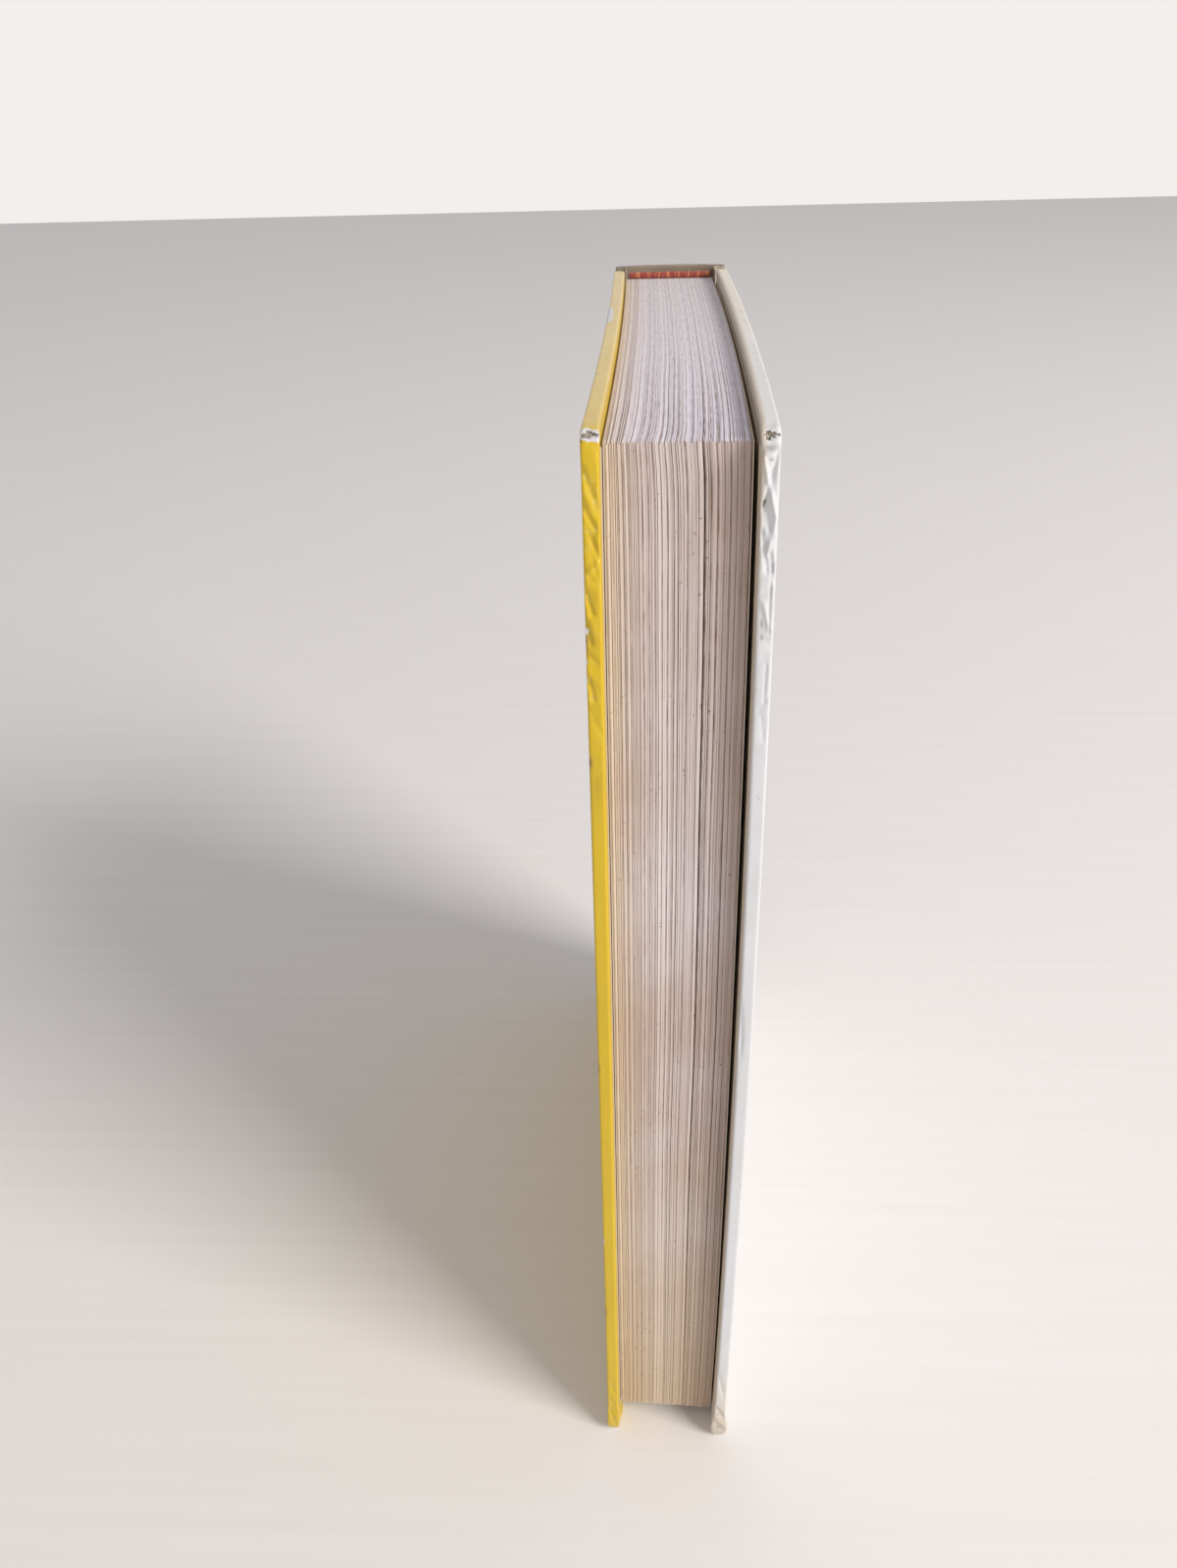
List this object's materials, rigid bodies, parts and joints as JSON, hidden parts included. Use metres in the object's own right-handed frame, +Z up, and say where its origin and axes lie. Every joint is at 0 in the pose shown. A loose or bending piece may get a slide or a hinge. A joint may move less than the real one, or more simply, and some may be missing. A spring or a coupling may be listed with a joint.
{
  "type": "hardback book",
  "caption": "Closed case-bound book standing on its tail edge: sewn leaves in a paper-covered board case with hinged front and back covers and a rounded spine.",
  "frame": {"origin": "middle of the rectangle the closed book covers on the surface it stands on, at the level of the covers' tail edges", "axes": "+Z up the leaves from tail to head, +Y towards the spine, -Y towards the fore-edge, -X towards the front cover and +X towards the back cover"},
  "size_m": [0.0282, 0.166, 0.242],
  "materials": {
    "leaves": "matt uncoated book paper, browned at the edges",
    "endpaper": "matt uncoated heavier paper",
    "yellow_cover_paper": "printed paper under a glossy film, yellow",
    "white_cover_paper": "printed paper under a glossy film, white",
    "greyboard": "matt grey binder's board",
    "gauze": "open-weave cotton, glued",
    "lining": "brown kraft paper",
    "band": "woven cotton, red and yellow"
  },
  "bodies": {
    "block": {"text_block": "leaves", "front_flyleaf": "endpaper", "back_flyleaf": "endpaper", "spine_gauze": "gauze", "headband": "band", "tailband": "band", "spine_lining": "lining", "spine_card": "greyboard", "spine_sheet": "white_cover_paper"},
    "front_cover": {"front_board": "greyboard", "front_cover_sheet": "yellow_cover_paper", "front_gauze_flange": "gauze", "front_pastedown": "endpaper"},
    "back_cover": {"back_board": "greyboard", "back_cover_sheet": "white_cover_paper", "back_gauze_flange": "gauze", "back_pastedown": "endpaper"}
  },
  "joints": [
    {"name": "front_cover_hinge", "type": "hinge", "parent": "block", "child": "front_cover", "pos_m": [-0.0113, 0.0775, 0.121], "axis": [0, 0, -1], "range_deg": [0, 180]},
    {"name": "back_cover_hinge", "type": "hinge", "parent": "block", "child": "back_cover", "pos_m": [0.0113, 0.0775, 0.121], "axis": [0, 0, 1], "range_deg": [0, 180]}
  ]
}
